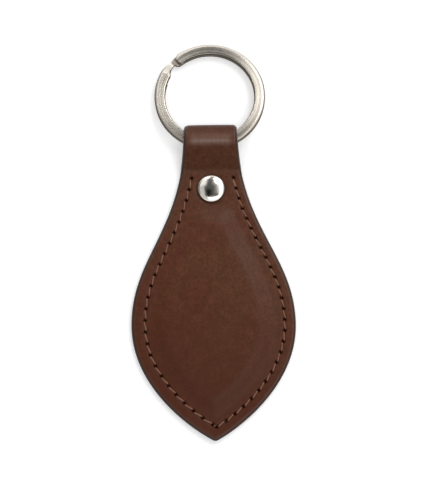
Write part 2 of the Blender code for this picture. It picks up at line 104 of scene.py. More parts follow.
# Places that follow from the sizes
WIRE_OUTER = RING_DIAMETER / 2
WIRE_INNER = WIRE_OUTER - WIRE_WIDTH
RING_STACK = 2 * COIL_THICKNESS + COIL_GAP
INNER_AT_STRAP_EDGE = np.sqrt(WIRE_INNER ** 2 - (NECK_WIDTH / 2) ** 2)
AXIS_TO_RING = (WIRE_OUTER + INNER_AT_STRAP_EDGE) / 2
WIRE_REACH = (WIRE_OUTER - INNER_AT_STRAP_EDGE) / 2
WIRE_SWEEP = max(np.hypot(WIRE_REACH, RING_STACK / 2 - WIRE_CHAMFER),
                 np.hypot(WIRE_REACH - WIRE_CHAMFER, RING_STACK / 2))
LOOP_OUTER_RADIUS = WIRE_SWEEP + LOOP_CLEARANCE + LEATHER
AXIS_HEIGHT = LOOP_OUTER_RADIUS
AXIS_Y = frame["joints"][0]["pos_m"][1]
MARGIN_TOP = 2 * LEATHER + GLUE_LINE
REST_TILT = (np.arcsin(AXIS_HEIGHT / np.hypot(AXIS_TO_RING + WIRE_OUTER - WIRE_CHAMFER, RING_STACK / 2))
             - np.arctan2(RING_STACK / 2, AXIS_TO_RING + WIRE_OUTER - WIRE_CHAMFER))
FLAT_START = -AXIS_TO_RIVET + CAP_DIAMETER / 2 + RIVET_GAP
PAD_TOP = -AXIS_TO_RIVET - CAP_DIAMETER / 2 - RIVET_GAP
BACK_DIMPLE = 2 * CAP_WALL + FLANGE + 4 * RIVET_GAP

# Finer shape of the leather, and how far its marks reach: full up to the first value of a pair,
# gone from the second one on, and for the holes in shares of half their size
TIP_RADIUS = 1.3 * MM
CLOSED_GAP = 0.04 * MM
RIM_WIDTH = 1.15 * MM
RIM_DEPTH = 0.88 * MM
RIM_GLOSS = 0.8 * MM
PAINT_FADE = np.array([0.15, 0.95]) * RIM_WIDTH
UNDER_RIM = 0.12 * MM
MARGIN_COLUMNS = np.array([1.6, 1.9]) * MM
SEAM_BAND = 0.75 * MM
PAD_BLEND = 2.0 * MM
PAD_SHOULDER = 6.6 * MM
VALLEY_DEPTH = 0.16 * MM
BACK_VALLEY_DEPTH = 0.42 * MM
VALLEY_WIDTH = 0.45 * MM
HOLE_LENGTH = 1.1 * MM
HOLE_WIDTH = 0.86 * MM
HOLE_DEPTH = 0.95 * MM
BACK_HOLE_DEPTH = 0.65 * MM
HOLE_TURN_LEFT = np.radians(-33.0)
HOLE_FADE = [0.35, 1.25]
PUCKER_DEPTH = 0.06 * MM
PUCKER_WIDTH = 0.8 * MM
DIMPLE_INSET = 0.3 * MM
DIMPLE_SLOPE = 1.6 * MM
BACK_DIMPLE_EDGE = 0.3 * MM
BACK_DIMPLE_INSET = 0.25 * MM
BACK_DIMPLE_SLOPE = 0.2 * MM
# Painted shade round the front cap: its strength and width
CAP_SHADE = 2.2
CAP_SHADE_WIDTH = 0.45 * MM
WAVE_HEIGHT = 0.03 * MM
# Highlight where the strip bends over the wire: glossier, lightened partly by the leather's own pull-up tone
# and partly by a painted highlight
BEND_TURN = np.radians(100.0)
BEND_SPREAD = np.radians(20.0)
BEND_FADE = np.array([4.2, 6.9]) * MM
# Painted shade on the fold at the loop's far end
FOLD_SHADE_FADE = np.radians([35.0, 85.0])

# Stitches and threads. Both threads are a little thinner than in the CAD source, and the upper one
# sits lower. The last stitch on the left has its own length in the scene alone.
LAST_LEFT_STITCH = 1.2 * MM
THREAD_RADIUS = 0.17 * MM
THREAD_SINK = 0.04 * MM
STITCH_TURN = np.radians(10.0)
THREAD_DIVE = 0.95 * MM
BACK_THREAD_DIVE = 0.6 * MM
BACK_THREAD_GAP = 0.02 * MM
BACK_TACK_STEP = 0.38 * MM
DIVE_START = 0.2 * MM
DIVE_END = 0.66 * MM
PLIES = 3
PLY_DEPTH = 0.1
PLY_LAY = 1.5 * MM
END_TAPER = 0.05

# Joggle of the ring: how far the wire is cut in on each side, at angles from its foot up, and the
# nook under the wire's front end, darkened with painted shade and made duller
CUT_ANGLES = np.radians([127.0, 131.5, 133.5, 135.0, 137.0, 141.5, 146.5, 150.5, 152.0])
INNER_CUT = np.array([0.0, 0.1, 0.5, 1.3, 1.3, 1.06, 0.63, 0.06, 0.0]) * MM
OUTER_CUT = np.array([0.0, 0.1, 0.2, 0.25, 0.22, 0.15, 0.05, 0.0, 0.0]) * MM
NOOK_ANGLE = np.radians(130.0)
NOOK_SPREAD = np.radians(2.6)
NOOK_SHADE = 0.8

# Rivet's front cap: height of the ellipse that its dome is part of, the share of it that is used,
# and the round corner below the dome
DOME_ELLIPSE = 0.85 * MM
DOME_SHARE = 0.92
DOME_CORNER = 0.16 * MM
BACK_CAP_CORNER = 0.35 * MM

# Corners of the ring's wire: the width and depth of the worn one outside, its line from the side
# up to the face in shares of these, and the radii of the one inside and of the hidden ones
RING_FACET = np.array([0.75, 0.24]) * MM
FACET_LINE = np.array([[0.0, 1.6], [0.0, 1.3], [0.03, 1.0], [0.12, 0.86], [0.5, 0.4], [0.9, 0.03],
                       [1.05, 0.0], [1.25, 0.0]])
RING_BEVEL = 0.38 * MM
HIDDEN_BEVEL = 0.12 * MM

# Points of a round corner by their turn from the side up to the face. One more at each end lies
# farther along the side or the face, at this share of the radius, and keeps it flat.
CORNER_TURNS = np.radians([0.0, 0.0, 18.0, 36.0, 54.0, 72.0, 90.0, 90.0])
CORNER_REACH = 1.2

# Parts of the ring's wire darkened with painted shade and made duller: the turn of the inner
# corner and the share of the facet's width over which they fade, and the height round the ring,
# from -1 to 1, over which the outer one does. On the outer corner the painted shade stands for a
# dark reflection, and it is left out at the top of the ring.
INNER_SHADE_FADE = np.radians([48.0, 78.0])
OUTER_SHADE_FADE = np.array([2.0, 7.0]) / 11.0
OUTER_SHADE_TOP = [0.3, 0.9]
OUTER_SHADE = 0.95

# Light: brightness of each part of the studio, where 1 is white
WALLS = 0.1
CEILING = 0.32
RIGHT_LIGHT = 3.3
LOW_RIGHT_LIGHT = 1.85
STRIP_LIGHT = 6.6
LEFT_CARD = 1.2
LOW_LEFT_CARD = 0.72
CORNER_LIGHT = 2.2
FRONT_CARD = 1.25
FRONT_LIGHT = 3.2
BACK_LIGHT = 1.4
HOOD = 0.0
HOOD_TOP = 0.1
LIGHT_DRIFT = 0.12

# Floor: half its side, its tone, and what it adds of its own for the rays that see it
FLOOR_REACH = 1.5
FLOOR_TONE = 0.87
FLOOR_GLOW = 0.33

# Camera at the photograph's place, with its lens and sensor in millimetres
CAMERA_LENS = 82.15
CAMERA_SENSOR = 36.0
CAMERA_PLACE = np.array([0.03, -42.09, 299.3]) * MM
CAMERA_TURN = np.radians([7.67, 0.0, -0.993])

# Rows and columns of the meshes
CURVE_POINTS = 400
TIP_POINTS = 14
FRONT_ROWS = 400
BACK_ROWS = 300
DIP_ROWS = 12
SLOPE_ROWS = 12
LOOP_ROWS = 72
BACK_NECK_ROWS = 30
UNDER_RIM_COLUMNS = 3
RIM_COLUMNS = 8
MIDDLE_COLUMNS = 40
UNDER_COLUMNS = 9
BAND_COLUMNS = 13
THREAD_COLUMNS = 12
THREAD_STEP = 0.085 * MM
TURNED_STEPS = 96
DOME_POINTS = 22
ROUND_POINTS = 7
END_SECTIONS = 12
COIL_SECTIONS = 720
MERGE_DISTANCE = 0.001 * MM

# Rows of the strip's front with the slope of its neck, and of its back with its neck
FRONT = slice(0, FRONT_ROWS + DIP_ROWS + SLOPE_ROWS)
BACK = slice(-BACK_ROWS - BACK_NECK_ROWS, None)


# Lines and curves

def eased(share):
    """Smooth rise from 0 to 1 with level ends: 3 t squared less 2 t cubed, level outside them."""
    t = np.clip(share, 0.0, 1.0)
    return t * t * (3.0 - 2.0 * t)


def faded(value, start, end):
    """1 up to the start and 0 from the end on, with a smooth step between them."""
    return 1.0 - eased((value - start) / (end - start))


def bezier(start, start_handle, end_handle, end):
    """Points on a cubic Bezier curve, both ends included."""
    t = np.linspace(0.0, 1.0, CURVE_POINTS)[:, None]
    s = 1.0 - t
    return s ** 3 * start + 3 * s * s * t * start_handle + 3 * s * t * t * end_handle + t ** 3 * end


def arc_lengths(points):
    """Length along a line of points up to each of them."""
    steps = np.linalg.norm(np.diff(points, axis=0), axis=1)
    return np.concatenate([[0.0], np.cumsum(steps)])


def spaced(points, count):
    """The same line with count points at equal steps of its length."""
    length = arc_lengths(points)
    wanted = np.linspace(0.0, length[-1], count)
    return np.column_stack([np.interp(wanted, length, column) for column in points.T])


def tangents(points):
    """Unit direction of a line at each of its points."""
    steps = np.gradient(points, axis=0)
    return steps / np.linalg.norm(steps, axis=1)[:, None]


def turned_line(vectors, angle):
    """Flat vectors turned counter-clockwise by an angle."""
    return vectors @ np.array([[np.cos(angle), np.sin(angle)], [-np.sin(angle), np.cos(angle)]])


def leaf_edge():
    """Right-hand edge of the leaf: two Bezier curves, and an arc under the tip.

    The arc's centre is on the midline. It takes over where the second curve's own normal, a
    radius long, ends on the midline.
    """
    down = np.array([0.0, -1.0])
    neck = np.array([NECK_WIDTH / 2, LOOP_OUTER_RADIUS])
    belly = np.array([BELLY_WIDTH / 2, -AXIS_TO_BELLY])
    tip = np.array([TIP_WIDTH / 2, -AXIS_TO_TIP])
    flank = np.array([np.sin(TIP_HALF_ANGLE), np.cos(TIP_HALF_ANGLE)])
    upper = bezier(neck, neck + NECK_HANDLE * down, belly - BELLY_HANDLE_ABOVE * down, belly)
    lower = bezier(belly, belly + BELLY_HANDLE_BELOW * down, tip + TIP_HANDLE * flank, tip)
    along = tangents(lower)
    room = lower[:, 0] + TIP_RADIUS * along[:, 1]
    end = np.argmax(room < 0.0)
    touch = lower[end - 1] + (lower[end] - lower[end - 1]) * room[end - 1] / (room[end - 1] - room[end])
    angle = np.arctan2(along[end, 0], -along[end, 1])
    turn = np.linspace(angle, -np.pi - angle, TIP_POINTS)
    arc = TIP_RADIUS * np.column_stack([np.cos(turn), np.sin(turn) - np.sin(angle)])
    arc[:, 1] += touch[1]
    return np.vstack([upper, lower[1:end], arc])


EDGE = leaf_edge()


def seam_margin(y):
    """Distance of the seam from the edge, which grows from the neck to the belly."""
    share = np.clip((-y - SEAM_START) / (AXIS_TO_BELLY - SEAM_START), 0.0, 1.0)
    return SEAM_MARGIN_NECK + (SEAM_MARGIN_BELLY - SEAM_MARGIN_NECK) * share


def inset_line(inset):
    """Line at an inset inside the leaf's edge, from the fold down to the midline."""
    along = tangents(EDGE)
    line = EDGE + np.column_stack([along[:, 1], -along[:, 0]]) * np.reshape(inset, (-1, 1))
    end = np.argmax((line[:, 0] < 0.0) & (line[:, 1] < -AXIS_TO_BELLY))
    above, below = line[end - 1], line[end]
    last = above + (below - above) * above[0] / (above[0] - below[0])
    return np.vstack([line[:end], last])


def below_start(line, start):
    """The part of a line that lies below y = start, with a point right on it."""
    first_x = np.interp(-start, -line[:, 1], line[:, 0])
    return np.vstack([[first_x, start], line[line[:, 1] < start]])


def seam_side(pitch, last_stitch):
    """Needle holes of one side from the top down to the corner above the tip, at x above 0.

    They are at equal steps of about a pitch, but for the last stitch, which has its own length.
    """
    line = below_start(inset_line(seam_margin(EDGE[:, 1])), -SEAM_START)
    length = arc_lengths(line)
    even = length[-1] - last_stitch
    stops = np.append(np.linspace(0.0, even, int(round(even / pitch)) + 1), length[-1])
    return np.column_stack([np.interp(stops, length, column) for column in line.T])


def seam_holes():
    """All needle holes in sewing order: down the left side, round the corner, up the right."""
    left = seam_side(LEFT_PITCH, LAST_LEFT_STITCH) * np.array([-1.0, 1.0])
    right = seam_side(RIGHT_PITCH, RIGHT_PITCH)
    return np.vstack([left, right[-2::-1]]) + np.array([SEAM_SHIFT, 0.0])


HOLES = seam_holes()


def nearest(x, y, points):
    """Distance from each place (x, y) to the nearest of some points."""
    squares = (x[..., None] - points[:, 0]) ** 2 + (y[..., None] - points[:, 1]) ** 2
    return np.sqrt(squares.min(axis=-1))


# Meshes

def grid_faces(rows, columns, around):
    """Four corners of each face of a grid, closed round its columns if around is true."""
    steps = columns if around else columns - 1
    row = np.arange(rows - 1)[:, None] * columns
    near = np.arange(steps)[None, :]
    far = (near + 1) % columns
    corners = np.stack([row + near, row + far, row + columns + far, row + columns + near], axis=-1)
    return corners.reshape(-1, 4)


def add_piece(name, grid, body, material, around=True, **values):
    """Object from a grid of points, its doubles merged and its faces outward, riding on a body.

    Each further value is a number for every point, kept as an attribute that the material reads.
    """
    rows, columns = grid.shape[:2]
    points = grid.reshape(-1, 3) + np.array([0.0, AXIS_Y, 0.0])
    faces = grid_faces(rows, columns, around)
    mesh = bpy.data.meshes.new(name)
    mesh.vertices.add(len(points))
    mesh.vertices.foreach_set("co", points.ravel())
    mesh.loops.add(faces.size)
    mesh.loops.foreach_set("vertex_index", faces.ravel())
    mesh.polygons.add(len(faces))
    mesh.polygons.foreach_set("loop_start", np.arange(0, faces.size, 4))
    mesh.update(calc_edges=True)
    for key, numbers in values.items():
        attribute = mesh.attributes.new(key, "FLOAT", "POINT")
        attribute.data.foreach_set("value", np.asarray(numbers, dtype=float).ravel())
    shape = bmesh.new()
    shape.from_mesh(mesh)
    bmesh.ops.remove_doubles(shape, verts=shape.verts, dist=MERGE_DISTANCE)
    bmesh.ops.holes_fill(shape, edges=shape.edges, sides=0)
    bmesh.ops.recalc_face_normals(shape, faces=shape.faces)
    shape.to_mesh(mesh)
    shape.free()
    mesh.shade_smooth()
    mesh.materials.append(material)
    piece = bpy.data.objects.new(name, mesh)
    bpy.context.scene.collection.objects.link(piece)
    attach(piece, body)
    return piece


# Leather

def loop_slope():
    """Slope of the front layer between the loop and the rivet, as in the CAD source."""
    back = -FLAT_START
    rise = MARGIN_TOP + DIP_RADIUS - AXIS_HEIGHT
    reach = LOOP_OUTER_RADIUS + DIP_RADIUS
    return np.arcsin(reach / np.hypot(back, rise)) - np.arctan2(rise, back)


def neck_path():
    """Outer side of the strip from the front leaf round the loop to the back leaf.

    Rows of y, z, normal y and normal z: an arc that lifts the strip off the leaf, a straight
    slope, the arc of the loop and the straight back of the neck.
    """
    slope = loop_slope()
    turn = np.linspace(0.0, slope, DIP_ROWS + 1)[1:]
    dip = np.column_stack([FLAT_START + DIP_RADIUS * np.sin(turn),
                           MARGIN_TOP + DIP_RADIUS * (1 - np.cos(turn)), -np.sin(turn), np.cos(turn)])
    turn = np.linspace(np.pi / 2 + slope, -np.pi / 2, LOOP_ROWS + 1)
    loop = np.column_stack([LOOP_OUTER_RADIUS * np.cos(turn),
                            AXIS_HEIGHT + LOOP_OUTER_RADIUS * np.sin(turn), np.cos(turn), np.sin(turn)])
    share = np.linspace(0.0, 1.0, SLOPE_ROWS + 2)[1:-1, None]
    rise = dip[-1] + (loop[0] - dip[-1]) * share
    share = np.linspace(0.0, 1.0, BACK_NECK_ROWS + 2)[1:-1, None]
    back = loop[-1] + (np.array([FLAT_START, 0.0, 0.0, -1.0]) - loop[-1]) * share
    return np.vstack([dip, rise, loop, back])


def half_columns():
    """Columns from under the rim up over it and in to the inner side of the seam band.

    For each column: a fixed inset from the edge, whether the seam's margin is added to it, its
    depth below the outer face, and whether that depth is counted up from the inner face.
    """
    under = np.linspace(np.pi / 2, 0.0, UNDER_RIM_COLUMNS)
    rim = np.linspace(0.0, np.pi / 2, RIM_COLUMNS)
    band = np.linspace(-SEAM_BAND, SEAM_BAND, BAND_COLUMNS)
    inset = np.concatenate([UNDER_RIM * (1 - np.cos(under)), RIM_WIDTH * (1 - np.cos(rim)),
                            MARGIN_COLUMNS, band])
    depth = np.concatenate([-UNDER_RIM * (1 - np.sin(under)), RIM_DEPTH * (1 - np.sin(rim)),
                            0.0 * MARGIN_COLUMNS, 0.0 * band])
    at_seam = np.arange(len(inset)) >= len(inset) - BAND_COLUMNS
    from_under = np.arange(len(inset)) < len(under)
    return inset, at_seam, depth, from_under


def half_plan(path, rows):
    """x, y and inset of each column of the right half along a leaf or along the neck's path.

    Down the leaf, every column is the edge's line set inward, cut at the midline and divided into
    equal shares of its length. Along the neck it has the same inset at the path's own y.
    """
    inset, at_seam, _, _ = half_columns()
    margins = np.where(at_seam, seam_margin(EDGE[:, 1])[:, None], 0.0) + inset
    x, y = [], []
    for column in margins.T:
        line = inset_line(column)
        if rows:
            line = spaced(below_start(line, FLAT_START), rows)
            x.append(line[:, 0])
            y.append(line[:, 1])
        else:
            x.append(np.interp(-path[:, 0], -line[:, 1], line[:, 0]))
            y.append(path[:, 0])
    x, y = np.array(x).T, np.array(y).T
    near_seam = inset + np.where(at_seam, seam_margin(y), 0.0)
    return x, y, eased(near_seam / seam_margin(y))


def strip_plan(path=None, rows=0):
    """x and y of all columns round the strip: right half, outer face, left half and inner face."""
    x, y, shift = half_plan(path, rows)
    right = x + SEAM_SHIFT * shift
    left = SEAM_SHIFT * shift - x
    share = (1 - np.cos(np.linspace(0.0, np.pi, MIDDLE_COLUMNS + 1)[1:-1])) / 2
    middle = right[:, -1:] + (left[:, -1:] - right[:, -1:]) * share
    middle_y = np.repeat(y[:, -1:], len(share), axis=1)
    share = np.linspace(-1.0, 1.0, UNDER_COLUMNS + 2)[1:-1]
    under = x[:, :1] * share
    under_y = np.repeat(y[:, :1], len(share), axis=1)
    return (np.hstack([right, middle, left[:, ::-1], under]),
            np.hstack([y, middle_y, y[:, ::-1], under_y]))


def strip_depths():
    """For each column round the strip: depth from a face, and 1 if that is the inner face."""
    _, _, depth, from_under = half_columns()
    middle = np.zeros(MIDDLE_COLUMNS - 1)
    under = np.zeros(UNDER_COLUMNS)
    return (np.concatenate([depth, middle, depth[::-1], under]),
            np.concatenate([from_under, middle, from_under[::-1], under + 1.0]))


def pad_rise(x, y):
    """Crown of the front: a rise inside the seam, with a soft corner below the rivet.

    It follows 6 t^5 - 15 t^4 + 10 t^3, whose slope also starts and ends without a corner.
    """
    inside = nearest(np.abs(x), y, EDGE[::2]) - PAD_START
    below = PAD_TOP - y
    blend = np.clip(0.5 + (inside - below) / (2 * PAD_BLEND), 0.0, 1.0)
    least = inside + (below - inside) * blend - PAD_BLEND * blend * (1.0 - blend)
    share = np.clip(least / PAD_SHOULDER, 0.0, 1.0)
    return PAD_HEIGHT * share ** 3 * (share * (6.0 * share - 15.0) + 10.0)


def hole_dents(x, y):
    """How far each place lies inside a needle hole's slanted oval: 1 at its middle, 0 outside."""
    along = tangents(HOLES)
    left = HOLES[:, 0] < SEAM_SHIFT
    along = np.where(left[:, None], turned_line(along, HOLE_TURN_LEFT), along)
    across_x = x[..., None] - HOLES[:, 0]
    across_y = y[..., None] - HOLES[:, 1]
    lengthwise = across_x * along[:, 0] + across_y * along[:, 1]
    crosswise = across_y * along[:, 0] - across_x * along[:, 1]
    oval = np.hypot(lengthwise / (HOLE_LENGTH / 2), crosswise / (HOLE_WIDTH / 2)).min(axis=-1)
    return faded(oval, *HOLE_FADE)


def rivet_dimple(x, y, cap, edge_depth, slope):
    """Depth of the leather round a rivet cap, deepest at the cap and easing out over the slope."""
    radius = np.hypot(x, y + AXIS_TO_RIVET)
    return edge_depth * faded(radius, cap, cap + slope)


def waves(x, y):
    """Faint unevenness of the hide: a few crossing sine waves of 9 to 30 mm."""
    u, v = x / MM, y / MM
    return WAVE_HEIGHT * (np.sin(0.31 * u + 0.14 * v + 1.0) + 0.7 * np.sin(0.22 * v - 0.41 * u)
                          + 0.5 * np.sin(0.47 * v + 0.19 * u + 2.2) + 0.4 * np.sin(0.68 * u - 0.23 * v))


def strip_course(path):
    """Height, normal y, normal z and share of leaf of the strip's outer side, one value a row."""
    front, back = np.ones(FRONT_ROWS), np.ones(BACK_ROWS)
    height = np.concatenate([MARGIN_TOP * front, path[:, 1], 0.0 * back])
    normal_y = np.concatenate([0.0 * front, path[:, 2], 0.0 * back])
    normal_z = np.concatenate([front, path[:, 3], -back])
    on_leaf = np.concatenate([front, np.zeros(len(path)), back])
    on_leaf[FRONT_ROWS:FRONT_ROWS + DIP_ROWS] = np.linspace(1.0, 0.0, DIP_ROWS)
    on_leaf[-BACK_ROWS - BACK_NECK_ROWS:-BACK_ROWS] = np.linspace(0.0, 1.0, BACK_NECK_ROWS)
    return [values[:, None] for values in (height, normal_y, normal_z, on_leaf)]


def seam_dents(x, y):
    """Depth of the seam's valley, holes and puckers, and how near each place is to a hole or the seam."""
    depth, hole, near_seam = np.zeros((3,) + x.shape)
    seam = spaced(HOLES, 4 * len(HOLES))
    sides = ((FRONT, VALLEY_DEPTH, HOLE_DEPTH), (BACK, BACK_VALLEY_DEPTH, BACK_HOLE_DEPTH))
    for side, valley, hole_depth in sides:
        hole[side] = hole_dents(x[side], y[side])
        near_seam[side] = np.exp(-(nearest(x[side], y[side], seam) / VALLEY_WIDTH) ** 2)
        pucker = np.exp(-(nearest(x[side], y[side], HOLES) / PUCKER_WIDTH) ** 2)
        depth[side] = valley * near_seam[side] + hole_depth * hole[side] + PUCKER_DEPTH * pucker
    return depth, hole, near_seam


def rivet_dents(x, y):
    """Depth of the dimple round the front cap and of the stepped one round the back cap."""
    depth = np.zeros(x.shape)
    front, back = CAP_DIAMETER / 2, BACK_CAP_DIAMETER / 2
    depth[FRONT] = rivet_dimple(x[FRONT], y[FRONT], front - DIMPLE_INSET, FRONT_DIMPLE, DIMPLE_SLOPE)
    depth[BACK] = rivet_dimple(x[BACK], y[BACK], back, BACK_DIMPLE_EDGE, DIMPLE_SLOPE)
    depth[BACK] += rivet_dimple(x[BACK], y[BACK], back - BACK_DIMPLE_INSET,
                                BACK_DIMPLE - BACK_DIMPLE_EDGE, BACK_DIMPLE_SLOPE)
    return depth


def cap_shade(x, y):
    """Painted shade in the leather round the front cap, strongest at the cap's edge."""
    from_cap = np.hypot(x, y + AXIS_TO_RIVET) - CAP_DIAMETER / 2
    return CAP_SHADE * np.exp(-(from_cap / CAP_SHADE_WIDTH) ** 2)


def strip_marks(x, y, z, inner, path):
    """What the leather's material reads at each point, apart from the seam and its holes.

    Edge paint, glossy rim, raw inner face, the glossier place where the strip bends over the wire,
    lightened by a painted highlight that is partly the leather's own pull-up tone, and painted
    shade on the fold at its end.
    """
    inset, at_seam, _, _ = half_columns()
    middle, under = np.zeros(MIDDLE_COLUMNS - 1), np.zeros(UNDER_COLUMNS)
    marks = {}
    for name, fade in (("paint", PAINT_FADE), ("rim", (RIM_GLOSS, RIM_WIDTH))):
        half = np.where(at_seam, 0.0, faded(inset, *fade))
        marks[name] = np.concatenate([half, middle, half[::-1], under]) + 0.0 * x
    marks["flesh"] = np.concatenate([0.0 * inset, middle, 0.0 * inset, under + 1.0]) + 0.0 * x
    loop_turn = np.arctan2(path[:, 1] - AXIS_HEIGHT, path[:, 0])
    bend_highlight = np.concatenate([np.zeros(FRONT_ROWS), np.exp(-((loop_turn - BEND_TURN) / BEND_SPREAD) ** 2),
                           np.zeros(BACK_ROWS)])
    marks["bend_highlight"] = bend_highlight[:, None] * (1 - inner) * faded(np.abs(x), *BEND_FADE)
    # Painted shade on the far side of the loop, where the strip folds
    fold_turn = np.abs(np.arctan2(z - AXIS_HEIGHT, y))
    marks["fold"] = faded(fold_turn, *FOLD_SHADE_FADE) * (y > 0) * (1 - inner)
    return marks


def leather_wrap(material):
    """One closed strip: front leaf, neck, loop and back leaf.

    A point lies on the strip's outer side at the column's place, set inward along the side's
    normal by the column's depth and outward by the relief: crown, seam valley, needle holes,
    puckers, the dimples of the rivet and faint waves.
    """
    path = neck_path()
    plans = strip_plan(rows=FRONT_ROWS), strip_plan(path=path), strip_plan(rows=BACK_ROWS)
    x, y = (np.vstack([front[::-1], neck, back]) for front, neck, back in zip(*plans))
    height, normal_y, normal_z, on_leaf = strip_course(path)
    z = height + 0.0 * x
    depth, inner = strip_depths()
    seam_depth, hole, near_seam = seam_dents(x, y)
    relief = waves(x, y) * eased(normal_z + 1.0) - seam_depth - rivet_dents(x, y)
    relief *= 1 - inner
    relief[FRONT] += pad_rise(x[FRONT], y[FRONT])
    thickness = LEATHER + (GLUE_LINE - CLOSED_GAP) / 2 * on_leaf
    set_in = depth + thickness * inner - relief
    grid = np.stack([x, y - set_in * normal_y, z - set_in * normal_z], axis=-1)
    # Painted shade round the front cap, added to the painted shade of the seam's valley
    near_seam[FRONT] += cap_shade(x[FRONT], y[FRONT])
    piece = add_piece("leather_strip", grid, "fob", material, hole=hole * (1 - inner),
                      seam=near_seam * (1 - inner), **strip_marks(x, y, z, inner, path))
    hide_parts("leather_wrap")


# Threads

def stitch_line(holes, face, dive, turn):
    """Middle line of a thread: slanted straight stitches that dive into every needle hole.

    Between two holes the line runs along the seam at the face's height. Each stitch is turned
    about its middle, so the line steps sideways in the depth of a hole.
    """
    steps = int(np.ceil(RIGHT_PITCH / THREAD_STEP))
    share = np.linspace(0.0, 1.0, steps, endpoint=False)
    start, end = holes[:-1, None, :], holes[1:, None, :]
    along = end - start
    pitch = np.linalg.norm(along, axis=-1, keepdims=True)
    across = np.concatenate([-along[..., 1:], along[..., :1]], axis=-1) / pitch
    swing = 0.5 * pitch - DIVE_START
    slant = np.clip((share - 0.5)[:, None] * pitch, -swing, swing)
    from_hole = np.minimum(share, 1.0 - share)[:, None] * pitch
    sideways = slant * np.tan(turn) * np.clip(from_hole / DIVE_START, 0.0, 1.0)
    plan = start + along * share[:, None] + across * sideways
    z = face - dive * faded(from_hole, DIVE_START, DIVE_END)
    return np.concatenate([plan, z], axis=-1).reshape(-1, 3)


def twisted_tube(line, radius):
    """Twisted thread along a line: a tube whose radius swells once in a turn for each ply.

    The swelling turns with the length along the line, once in each lay of the plies.
    """
    line = spaced(line, int(arc_lengths(line)[-1] / THREAD_STEP))
    along = tangents(line)
    side = np.column_stack([-along[:, 1], along[:, 0], 0.0 * along[:, 0]])
    side /= np.linalg.norm(side, axis=1)[:, None]
    up = np.cross(along, side)
    turn = np.linspace(0.0, FULL_TURN, THREAD_COLUMNS, endpoint=False)
    length = arc_lengths(line)[:, None]
    swell = radius * (1.0 + PLY_DEPTH * np.cos(PLIES * (turn - FULL_TURN * length / PLY_LAY)))
    swell[[0, -1]] *= END_TAPER
    ring = (side[:, None, :] * np.cos(turn)[:, None] + up[:, None, :] * np.sin(turn)[:, None])
    return line[:, None, :] + ring * swell[..., None], 0.0 * turn + length, turn + 0.0 * length


def sewing_threads(material):
    """Upper thread on the front and lower thread on the back of the seam.

    The upper thread's last stitch goes back beside the one before it and locks the seam.
    """
    front = MARGIN_TOP - VALLEY_DEPTH + THREAD_RADIUS - THREAD_SINK
    back = THREAD_RADIUS * (1 + PLY_DEPTH) + BACK_THREAD_GAP
    back_tack = HOLES[-2:-1] + np.array([-BACK_TACK_STEP, 0.0])
    for name, node, holes, face, dive in (
            ("upper_thread", "needle_thread", np.vstack([HOLES, back_tack]), front, THREAD_DIVE),
            ("lower_thread", "bobbin_thread", HOLES, back, -BACK_THREAD_DIVE)):
        line = stitch_line(holes, face, dive, STITCH_TURN)
        grid, length, turn = twisted_tube(line, THREAD_RADIUS)
        depth = np.abs(grid[..., 2] - face)
        piece = add_piece(name, grid, "fob", material, length=length, turn=turn, depth=depth / MM)
        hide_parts(node)


# Rivet

def turned(profile):
    """Surface that a profile of (radius, height) rows sweeps about the rivet's axis."""
    turn = np.linspace(0.0, FULL_TURN, TURNED_STEPS, endpoint=False)
    radius, height = profile[:, :1], profile[:, 1:]
    return np.stack([radius * np.cos(turn), radius * np.sin(turn) - AXIS_TO_RIVET,
                     height + 0.0 * turn], axis=-1)


def cap_dome(outer):
    """Radius and height, from the top, of the front cap's dome and of the round corner below it.

    The dome is the middle of an ellipse. The corner is an arc that goes on from its slope to the
    upright side.
    """
    share = np.linspace(0.0, DOME_SHARE, DOME_POINTS)
    radius = outer / DOME_SHARE
    steep = DOME_ELLIPSE / radius * DOME_SHARE / np.sqrt(1 - DOME_SHARE ** 2)
    turn = np.linspace(np.arctan(steep), np.pi / 2, ROUND_POINTS)[1:]
    arc = DOME_CORNER * np.column_stack([np.sin(turn), np.cos(turn)])
    arc -= DOME_CORNER * np.array([1.0, np.cos(np.arctan(steep))])
    used = (outer + DOME_CORNER * (np.sin(np.arctan(steep)) - 1.0)) / outer
    dome = np.column_stack([radius * share * used, DOME_ELLIPSE * (np.sqrt(1 - share ** 2) - 1.0)])
    return np.vstack([dome, arc + np.array([outer, dome[-1, 1]])])


def rivet_front_cap(material):
    """Domed cap on the front, a hollow shell with its lip turned in."""
    lip = MARGIN_TOP - FRONT_DIMPLE + RIVET_GAP
    outer = CAP_DIAMETER / 2
    dome = cap_dome(outer)
    outside = np.column_stack([dome[:, 0], lip + CAP_HEIGHT + dome[:, 1]])
    foot = np.linspace(0.0, np.pi / 2, ROUND_POINTS)
    rounded = np.column_stack([outer - CAP_RIM / 2 * (1 - np.cos(foot)),
                               lip + CAP_RIM / 2 * (1 - np.sin(foot))])
    crimp = outer - CAP_WALL - CRIMP
    inner = np.array([[crimp, lip], [crimp, lip + CAP_WALL], [outer - CAP_WALL, lip + CAP_WALL]])
    hollow = np.column_stack([dome[::-1, 0] * (1 - CAP_WALL / outer), outside[::-1, 1] - CAP_WALL])
    front = add_piece("front_cap", turned(np.vstack([outside, rounded, inner, hollow])), "fob", material)
    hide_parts("rivet_front_cap")


